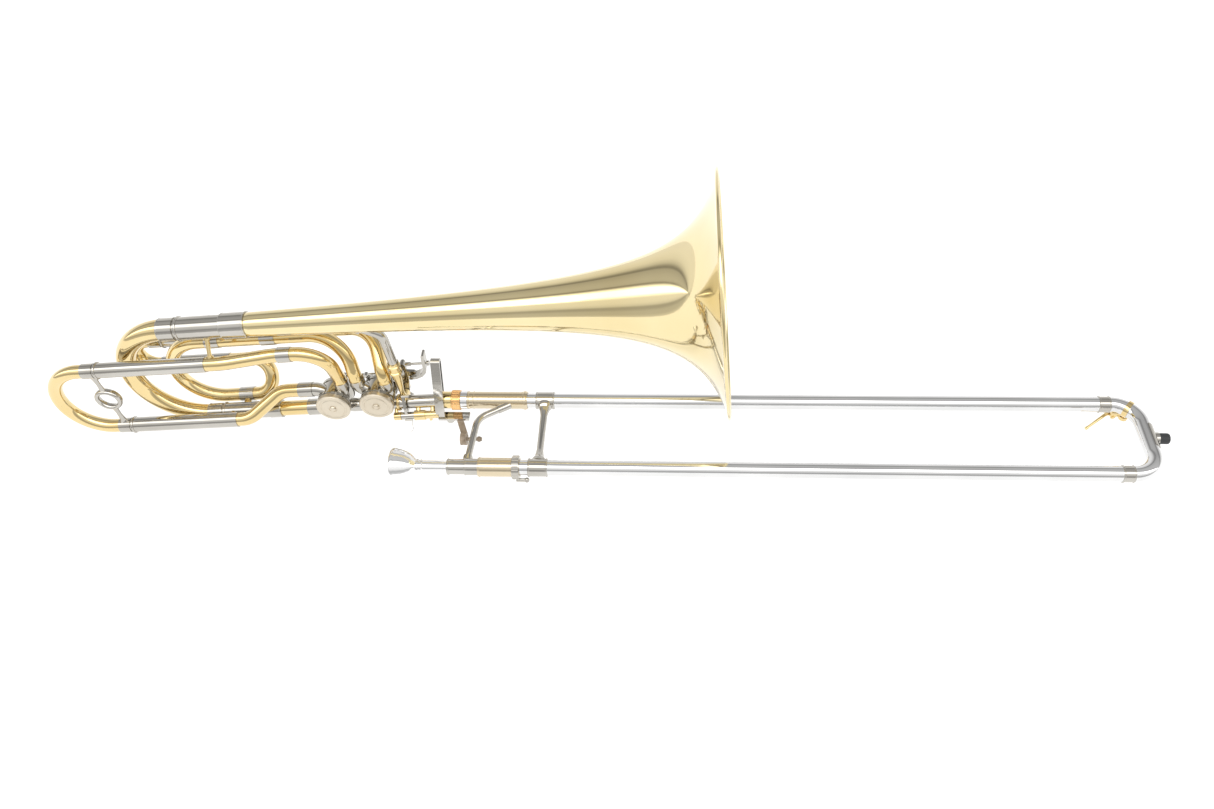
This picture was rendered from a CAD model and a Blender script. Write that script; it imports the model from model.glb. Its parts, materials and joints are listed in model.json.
import bpy, bmesh, math, json
from mathutils import Vector, Matrix


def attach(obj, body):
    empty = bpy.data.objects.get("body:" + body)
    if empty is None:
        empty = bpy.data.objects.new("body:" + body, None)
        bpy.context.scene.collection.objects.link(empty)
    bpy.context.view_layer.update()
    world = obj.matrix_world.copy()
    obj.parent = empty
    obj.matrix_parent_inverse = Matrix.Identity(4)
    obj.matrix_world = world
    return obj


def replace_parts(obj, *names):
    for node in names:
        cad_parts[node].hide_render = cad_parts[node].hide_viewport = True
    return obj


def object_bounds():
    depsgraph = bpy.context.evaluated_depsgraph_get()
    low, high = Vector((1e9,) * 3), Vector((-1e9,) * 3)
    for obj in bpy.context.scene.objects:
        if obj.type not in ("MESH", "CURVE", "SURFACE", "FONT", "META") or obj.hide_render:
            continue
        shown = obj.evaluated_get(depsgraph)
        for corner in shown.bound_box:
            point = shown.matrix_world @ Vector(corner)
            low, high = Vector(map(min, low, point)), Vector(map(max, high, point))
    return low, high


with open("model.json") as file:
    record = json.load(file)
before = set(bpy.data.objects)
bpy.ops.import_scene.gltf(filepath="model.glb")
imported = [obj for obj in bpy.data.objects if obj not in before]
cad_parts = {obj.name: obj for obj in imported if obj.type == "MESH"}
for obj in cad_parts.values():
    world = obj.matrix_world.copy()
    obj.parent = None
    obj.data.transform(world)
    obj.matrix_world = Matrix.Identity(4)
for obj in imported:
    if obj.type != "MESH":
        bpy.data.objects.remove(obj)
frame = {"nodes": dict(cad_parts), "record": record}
cad_lo, cad_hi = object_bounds()
N = frame["nodes"]
scene = bpy.context.scene
col = scene.collection

# ---------------------------------------------------------------- camera
cam_d = bpy.data.cameras.new("camera")
cam_d.sensor_width = 36.0
cam_d.lens = 1050.0 / 1214.0 * 36.0
cam_d.clip_start = 0.01
cam_d.clip_end = 50
cam = bpy.data.objects.new("camera", cam_d)
col.objects.link(cam)
right = Vector((0.99803378, 0.04647565, -0.04205456))
down = Vector((0.00709804, -0.75044822, -0.66089113))
fwd = Vector((-0.06227511, 0.65929316, -0.74930257))
R = Matrix((right, -down, -fwd)).transposed().to_4x4()
cam.matrix_world = Matrix.Translation(Vector((0.23173321, -0.74184619, 0.83747834))) @ R
scene.camera = cam
scene.view_settings.view_transform = "Standard"
scene.view_settings.look = "None"

# ---------------------------------------------------------------- geometry constants, metres
CA, SA = math.cos(math.radians(4.88)), math.sin(math.radians(4.88))


def B(x, y, z):
    """A point of the tilted bell section, given in millimetres, in the row frame."""
    return Vector(((-12 + x * CA - z * SA) / 1000, y / 1000, (x * SA + z * CA) / 1000))


def BV(x, y, z):
    return Vector((x * CA - z * SA, y, x * SA + z * CA))


# ---------------------------------------------------------------- materials
def new_mat(name):
    m = bpy.data.materials.new(name)
    m.use_nodes = True
    t = m.node_tree
    t.nodes.clear()
    out = t.nodes.new("ShaderNodeOutputMaterial")
    b = t.nodes.new("ShaderNodeBsdfPrincipled")
    t.links.new(b.outputs[0], out.inputs[0])
    return m, t, b


def metal(name, c1, c2, rough=(0.08, 0.16), coat=0.0, drawn=(6, 260, 260), bump=0.02, spots=0.35, tint=None):
    """Polished metal: slow colour drift, faint drawn lines, tiny handling marks in the roughness."""
    m, t, b = new_mat(name)
    n, l = t.nodes, t.links
    tc = n.new("ShaderNodeTexCoord")
    # colour drift
    slow = n.new("ShaderNodeTexNoise"); slow.inputs["Scale"].default_value = 9; slow.inputs["Detail"].default_value = 3
    l.new(tc.outputs["Object"], slow.inputs["Vector"])
    ramp = n.new("ShaderNodeValToRGB")
    ramp.color_ramp.elements[0].position = 0.3; ramp.color_ramp.elements[0].color = (*c1, 1)
    ramp.color_ramp.elements[1].position = 0.72; ramp.color_ramp.elements[1].color = (*c2, 1)
    l.new(slow.outputs["Fac"], ramp.inputs["Fac"])
    # tarnish specks
    vor = n.new("ShaderNodeTexNoise"); vor.inputs["Scale"].default_value = 420; vor.inputs["Detail"].default_value = 6; vor.inputs["Roughness"].default_value = 0.7
    l.new(tc.outputs["Object"], vor.inputs["Vector"])
    sp = n.new("ShaderNodeMapRange"); sp.inputs["From Min"].default_value = 0.66; sp.inputs["From Max"].default_value = 0.8
    sp.inputs["To Min"].default_value = 0.0; sp.inputs["To Max"].default_value = spots
    l.new(vor.outputs["Fac"], sp.inputs["Value"])
    mix = n.new("ShaderNodeMix"); mix.data_type = "RGBA"; mix.blend_type = "MULTIPLY"
    l.new(sp.outputs["Result"], mix.inputs[0]); l.new(ramp.outputs["Color"], mix.inputs[6])
    mix.inputs[7].default_value = (*(tint or (0.72, 0.66, 0.55)), 1)
    l.new(mix.outputs[2], b.inputs["Base Color"])
    # lengthwise polishing lines
    mp = n.new("ShaderNodeMapping"); mp.inputs["Scale"].default_value = drawn
    l.new(tc.outputs["Object"], mp.inputs["Vector"])
    lines = n.new("ShaderNodeTexNoise"); lines.inputs["Scale"].default_value = 3.2; lines.inputs["Detail"].default_value = 5
    l.new(mp.outputs["Vector"], lines.inputs["Vector"])
    rr = n.new("ShaderNodeMapRange"); rr.inputs["From Min"].default_value = 0.3; rr.inputs["From Max"].default_value = 0.75
    rr.inputs["To Min"].default_value = rough[0]; rr.inputs["To Max"].default_value = rough[1]
    l.new(lines.outputs["Fac"], rr.inputs["Value"])
    l.new(rr.outputs["Result"], b.inputs["Roughness"])
    bp = n.new("ShaderNodeBump"); bp.inputs["Strength"].default_value = bump; bp.inputs["Distance"].default_value = 0.0004
    l.new(lines.outputs["Fac"], bp.inputs["Height"]); l.new(bp.outputs["Normal"], b.inputs["Normal"])
    b.inputs["Metallic"].default_value = 1.0
    if coat:
        b.inputs["Coat Weight"].default_value = coat
        b.inputs["Coat Roughness"].default_value = 0.03
    return m


BRASS = metal("brass_lacquered", (0.70, 0.53, 0.24), (0.82, 0.66, 0.35), rough=(0.05, 0.13), coat=0.5, spots=0.25, tint=(0.75, 0.55, 0.30))
BELLM = metal("brass_bell", (0.76, 0.63, 0.34), (0.85, 0.73, 0.44), rough=(0.04, 0.10), coat=0.5, drawn=(10, 60, 60), spots=0.18, tint=(0.78, 0.6, 0.38))
NICKEL = metal("nickel_silver", (0.42, 0.40, 0.36), (0.58, 0.56, 0.52), rough=(0.04, 0.12), spots=0.4)
CHROME = metal("slide_chrome", (0.66, 0.66, 0.66), (0.80, 0.80, 0.80), rough=(0.04, 0.12), spots=0.22, tint=(0.7, 0.7, 0.68))
CHAMP = metal("champagne_nickel", (0.60, 0.50, 0.34), (0.74, 0.65, 0.49), rough=(0.12, 0.26), spots=0.4)
COPPER = metal("copper_brass", (0.70, 0.40, 0.15), (0.84, 0.55, 0.26), rough=(0.12, 0.24), coat=0.3, spots=0.35)
CAPM = metal("cap_satin", (0.60, 0.53, 0.42), (0.72, 0.66, 0.55), rough=(0.28, 0.42), bump=0.05, drawn=(120, 8, 120), spots=0.4)
SILVER = metal("silver_plate", (0.86, 0.86, 0.86), (0.96, 0.96, 0.96), rough=(0.10, 0.22), spots=0.15, tint=(0.8, 0.78, 0.74))


def rubber():
    m, t, b = new_mat("black_rubber")
    n, l = t.nodes, t.links
    tc = n.new("ShaderNodeTexCoord")
    g = n.new("ShaderNodeTexNoise"); g.inputs["Scale"].default_value = 900; g.inputs["Detail"].default_value = 4
    l.new(tc.outputs["Object"], g.inputs["Vector"])
    r = n.new("ShaderNodeValToRGB")
    r.color_ramp.elements[0].color = (0.010, 0.011, 0.012, 1); r.color_ramp.elements[1].color = (0.045, 0.047, 0.05, 1)
    l.new(g.outputs["Fac"], r.inputs["Fac"]); l.new(r.outputs["Color"], b.inputs["Base Color"])
    q = n.new("ShaderNodeMapRange"); q.inputs["To Min"].default_value = 0.45; q.inputs["To Max"].default_value = 0.75
    l.new(g.outputs["Fac"], q.inputs["Value"]); l.new(q.outputs["Result"], b.inputs["Roughness"])
    bp = n.new("ShaderNodeBump"); bp.inputs["Strength"].default_value = 0.25; bp.inputs["Distance"].default_value = 0.0002
    l.new(g.outputs["Fac"], bp.inputs["Height"]); l.new(bp.outputs["Normal"], b.inputs["Normal"])
    return m


def leather():
    m, t, b = new_mat("leather_brown")
    n, l = t.nodes, t.links
    tc = n.new("ShaderNodeTexCoord")
    v = n.new("ShaderNodeTexVoronoi"); v.inputs["Scale"].default_value = 900; v.feature = "DISTANCE_TO_EDGE"
    l.new(tc.outputs["Object"], v.inputs["Vector"])
    g = n.new("ShaderNodeTexNoise"); g.inputs["Scale"].default_value = 130; g.inputs["Detail"].default_value = 5
    l.new(tc.outputs["Object"], g.inputs["Vector"])
    r = n.new("ShaderNodeValToRGB")
    r.color_ramp.elements[0].position = 0.3; r.color_ramp.elements[0].color = (0.20, 0.15, 0.10, 1)
    r.color_ramp.elements[1].position = 0.75; r.color_ramp.elements[1].color = (0.42, 0.34, 0.26, 1)
    l.new(g.outputs["Fac"], r.inputs["Fac"]); l.new(r.outputs["Color"], b.inputs["Base Color"])
    q = n.new("ShaderNodeMapRange"); q.inputs["To Min"].default_value = 0.4; q.inputs["To Max"].default_value = 0.62
    l.new(g.outputs["Fac"], q.inputs["Value"]); l.new(q.outputs["Result"], b.inputs["Roughness"])
    bp = n.new("ShaderNodeBump"); bp.inputs["Strength"].default_value = 0.3; bp.inputs["Distance"].default_value = 0.0003
    l.new(v.outputs["Distance"], bp.inputs["Height"]); l.new(bp.outputs["Normal"], b.inputs["Normal"])
    return m


RUBBER = rubber()
LEATHER = leather()
SLOTMAT = {"lacquered_brass": BRASS, "nickel_silver": NICKEL, "slide_chrome": CHROME, "champagne_nickel": CHAMP,
           "copper_brass": COPPER, "satin_cap": CAPM, "silver_plate": SILVER, "black_rubber": RUBBER, "leather_brown": LEATHER}
slot_of = {s["node"]: s["material_slot"] for s in frame["record"]["subparts"]}


def smooth(o, angle=32):
    for p in o.data.polygons:
        p.use_smooth = True
    w = o.modifiers.new("weld", "WELD"); w.merge_threshold = 1e-6
    e = o.modifiers.new("split", "EDGE_SPLIT"); e.split_angle = math.radians(angle); e.use_edge_angle = True; e.use_edge_sharp = False


for name, o in N.items():
    m = SLOTMAT[slot_of[name]]
    o.data.materials.clear(); o.data.materials.append(m)
    smooth(o)

# ---------------------------------------------------------------- mesh helpers
def mesh_obj(name, verts, faces, mat, body, sharp=None):
    me = bpy.data.meshes.new(name)
    me.from_pydata([tuple(v) for v in verts], [], faces)
    me.update()
    o = bpy.data.objects.new(name, me)
    col.objects.link(o)
    me.materials.append(mat)
    for p in me.polygons:
        p.use_smooth = True
    if sharp:
        e = o.modifiers.new("split", "EDGE_SPLIT"); e.split_angle = math.radians(sharp)
    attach(o, body)
    return o


def revolve(name, prof, origin, axis, mat, body, n=192, sharp=40, closed=True, ref=None):
    """Sweep a profile of (radius, distance along axis) pairs, in metres, around an axis."""
    axis = axis.normalized()
    s = (ref or Vector((0, 1, 0)))
    s = (s - axis * s.dot(axis)).normalized(); t = axis.cross(s)
    V, F = [], []
    k = len(prof)
    for i in range(n):
        a = 2 * math.pi * i / n
        d = s * math.cos(a) + t * math.sin(a)
        for r, h in prof:
            V.append(origin + axis * h + d * r)
    for i in range(n):
        j = (i + 1) % n
        for q in range(k if closed else k - 1):
            q2 = (q + 1) % k
            F.append((i * k + q, i * k + q2, j * k + q2, j * k + q))
    return mesh_obj(name, V, F, mat, body, sharp)


def sweep(name, pts, rad, mat, body, slot, seg=48, cap=True, sharp=50):
    """Solid rod or tube skin along points; rad is a number or a list."""
    n = len(pts)
    rs = rad if isinstance(rad, (list, tuple)) else [rad] * n
    T = [(pts[min(i + 1, n - 1)] - pts[max(i - 1, 0)]).normalized() for i in range(n)]
    u = Vector((0, 0, 1)) if abs(T[0].z) < 0.9 else Vector((1, 0, 0))
    u = (u - T[0] * u.dot(T[0])).normalized()
    V, F = [], []
    for i in range(n):
        u = (u - T[i] * u.dot(T[i])).normalized(); w = T[i].cross(u)
        for j in range(seg):
            a = 2 * math.pi * j / seg
            V.append(pts[i] + (u * math.cos(a) + w * math.sin(a)) * rs[i])
    for i in range(n - 1):
        for j in range(seg):
            k = (j + 1) % seg
            F.append((i * seg + j, i * seg + k, (i + 1) * seg + k, (i + 1) * seg + j))
    if cap:
        F.append(tuple(reversed(range(seg)))); F.append(tuple((n - 1) * seg + j for j in range(seg)))
    return mesh_obj(name, V, F, mat, body, sharp)


# ---------------------------------------------------------------- bell, finely turned, with a rolled rim
XM, ZB, BRIM = 304.6, 128.0, 120.65


def flare(L):
    return (BRIM - 2.7) * (34 / (34 + L)) ** 0.915 + 2.7


def bell_piece():
    st = [480 * (1 - i / 140) ** 2.2 + 0.4 for i in range(141)]
    rw = 1.8
    outer = [(12.1, 499.8)] + [(12.1, 481)] + [(flare(L), L) for L in st]
    # rolled rim: wire curled outward behind the lip
    zc = 1.2
    arc = [(BRIM - rw + rw * math.cos(math.radians(a)), zc + rw * math.sin(math.radians(a))) for a in range(70, -181, -10)]
    inner = [(flare(L) - 0.7, L + 0.02) for L in reversed(st)] + [(11.4, 481), (11.4, 499.8)]
    outer = [p for p in outer if p[1] > 3.1 or p[0] < 60]
    inner = [p for p in inner if p[1] > 1.2 or p[0] < 60]
    prof = [(r / 1000, h / 1000) for r, h in outer + arc + inner]
    o = revolve("bell_smooth", prof, B(XM, 0, ZB), -BV(1, 0, 0), BELLM, "bell_section", n=288, sharp=50)
    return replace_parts(o, "bell")


bell_piece()


# ---------------------------------------------------------------- main bow, smooth taper
def main_bow_piece():
    n, m = 120, 72
    secs = [(-262.3, 128.0, 0.0, 11.2)] + [(-266 - 64 * math.sin(math.pi * k / n), 64 + 64 * math.cos(math.pi * k / n), 180.0 * k / n, 11.2 - 2.4 * k / n) for k in range(n + 1)] + [(-262.3, 0.0, 180.0, 8.8)]
    V, F = [], []
    for wall in (0.0, 0.8):
        for (x, z, th, r) in secs:
            t = math.radians(th)
            for j in range(m):
                a = 2 * math.pi * j / m; u = (r - wall) * math.cos(a)
                V.append(B(x - u * math.sin(t), (r - wall) * math.sin(a), z + u * math.cos(t)))
    Ns = len(secs); o2 = Ns * m
    for k in range(Ns - 1):
        for j in range(m):
            q = (j + 1) % m
            F.append((k * m + j, (k + 1) * m + j, (k + 1) * m + q, k * m + q))
            F.append((o2 + k * m + j, o2 + k * m + q, o2 + (k + 1) * m + q, o2 + (k + 1) * m + j))
    for j in range(m):
        q = (j + 1) % m
        F.append((j, q, o2 + q, o2 + j))
        b0 = (Ns - 1) * m
        F.append((b0 + j, o2 + b0 + j, o2 + b0 + q, b0 + q))
    o = mesh_obj("main_bow_smooth", V, F, BRASS, "main_tuning_slide", 50)
    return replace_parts(o, "main_bow")


main_bow_piece()


# ---------------------------------------------------------------- finger ring of the second tuning slide, with its two stays
def finger_ring_piece():
    gy, gzu, gzl, fr, xc, zc = -22.0, 96.5, 10.0, 8.1, -354.5, 53.0
    R0, rt, dy = 11.9, 2.7, 3.9
    V, F = [], []
    n, m = 96, 32
    for i in range(n):
        a = 2 * math.pi * i / n
        for j in range(m):
            b = 2 * math.pi * j / m
            r = R0 + rt * math.cos(b)
            V.append(B(xc + r * math.cos(a), gy + dy * math.sin(b), zc + r * math.sin(a)))
    for i in range(n):
        for j in range(m):
            F.append((i * m + j, i * m + (j + 1) % m, ((i + 1) % n) * m + (j + 1) % m, ((i + 1) % n) * m + j))
    # each stay swells from a waist to a foot that sits on its tube
    k = 24
    for sgn, z1 in ((1, gzu - fr + 1.0), (-1, gzl + fr - 1.0)):
        z0 = zc + sgn * (R0 + 1.0)
        base = len(V); st = 18
        for i in range(st + 1):
            f = i / st
            wx = 3.4 - 0.9 * math.sin(math.pi * min(1, f * 1.15)) + 1.7 * max(0, (f - 0.82) / 0.18) ** 2
            wy = wx * 0.72
            for j in range(k):
                b = 2 * math.pi * j / k
                V.append(B(xc + wx * math.cos(b), gy + wy * math.sin(b), z0 + (z1 - z0) * f))
        for i in range(st):
            for j in range(k):
                q = (j + 1) % k
                F.append((base + i * k + j, base + i * k + q, base + (i + 1) * k + q, base + (i + 1) * k + j))
        F.append(tuple(base + j for j in reversed(range(k)))); F.append(tuple(base + st * k + j for j in range(k)))
    o = mesh_obj("finger_ring_cast", V, F, NICKEL, "gb_tuning_slide", 50)
    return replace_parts(o, "gb_finger_ring")


finger_ring_piece()

# ---------------------------------------------------------------- floor and light
allo, allhi = cad_lo, cad_hi
fz = cad_lo.z - 0.02
fm = bpy.data.meshes.new("floor")
c = Vector(((cad_lo.x + cad_hi.x) / 2, 0, fz))
fm.from_pydata([(c.x - 5, -1.1, fz), (c.x + 5, -1.1, fz), (c.x + 5, 5, fz), (c.x - 5, 5, fz)], [], [(0, 1, 2, 3)])
floor = bpy.data.objects.new("floor", fm); col.objects.link(floor)
m, t, b = new_mat("floor_white")
b.inputs["Base Color"].default_value = (0.36, 0.36, 0.36, 1); b.inputs["Roughness"].default_value = 0.9
b.inputs["Specular IOR Level"].default_value = 0.1
b.inputs["Emission Color"].default_value = (1, 1, 1, 1); b.inputs["Emission Strength"].default_value = 0.86
fm.materials.append(m)

# world: studio walls laid out round the long axis of the object, so that polished tubes get long light and dark streaks
w = bpy.data.worlds.new("studio"); scene.world = w; w.use_nodes = True
t = w.node_tree; t.nodes.clear()
wo = t.nodes.new("ShaderNodeOutputWorld"); bg = t.nodes.new("ShaderNodeBackground")
tc = t.nodes.new("ShaderNodeTexCoord"); sx = t.nodes.new("ShaderNodeSeparateXYZ")
t.links.new(tc.outputs["Generated"], sx.inputs[0])
ng = t.nodes.new("ShaderNodeMath"); ng.operation = "MULTIPLY"; ng.inputs[1].default_value = -1.0
t.links.new(sx.outputs["Y"], ng.inputs[0])
at = t.nodes.new("ShaderNodeMath"); at.operation = "ARCTAN2"
t.links.new(ng.outputs[0], at.inputs[0]); t.links.new(sx.outputs["Z"], at.inputs[1])
mr = t.nodes.new("ShaderNodeMapRange"); mr.inputs["From Min"].default_value = -math.pi; mr.inputs["From Max"].default_value = math.pi
t.links.new(at.outputs[0], mr.inputs["Value"])
rp = t.nodes.new("ShaderNodeValToRGB")
e = rp.color_ramp.elements
SKY = [(-180, 0.95), (-95, 1.0), (-78, 1.0), (-64, 0.92), (-54, 0.70), (-46, 0.34), (-42, 0.30), (-38, 0.50), (-24, 0.58), (-12, 0.62),
       (-4, 0.60), (0, 0.36), (3, 0.40), (6, 0.95), (10, 1.5), (14, 2.6), (32, 2.6), (38, 1.5), (43, 1.05), (58, 0.98), (66, 0.82),
       (71, 0.50), (76, 0.48), (84, 0.62), (94, 0.64), (102, 0.85), (180, 0.95)]
for a, v in SKY[1:-1]:
    x = e.new((a + 180) / 360); x.color = (v, v * 0.995, v * 0.985, 1)
for q in (0, len(e) - 1):
    e[q].color = (0.5, 0.5, 0.49, 1)
t.links.new(mr.outputs["Result"], rp.inputs["Fac"])
t.links.new(rp.outputs["Color"], bg.inputs["Color"]); bg.inputs["Strength"].default_value = 1.0
t.links.new(bg.outputs[0], wo.inputs[0])


def area(name, loc, target, size, size_y, power):
    d = bpy.data.lights.new(name, "AREA"); d.shape = "RECTANGLE"; d.size = size; d.size_y = size_y; d.energy = power
    o = bpy.data.objects.new(name, d); col.objects.link(o)
    o.location = loc
    o.rotation_euler = (Vector(target) - Vector(loc)).to_track_quat("-Z", "Y").to_euler()
    return o


area("key", (0.1, -1.3, 2.6), (0.15, 0, 0), 3.0, 1.2, 9)
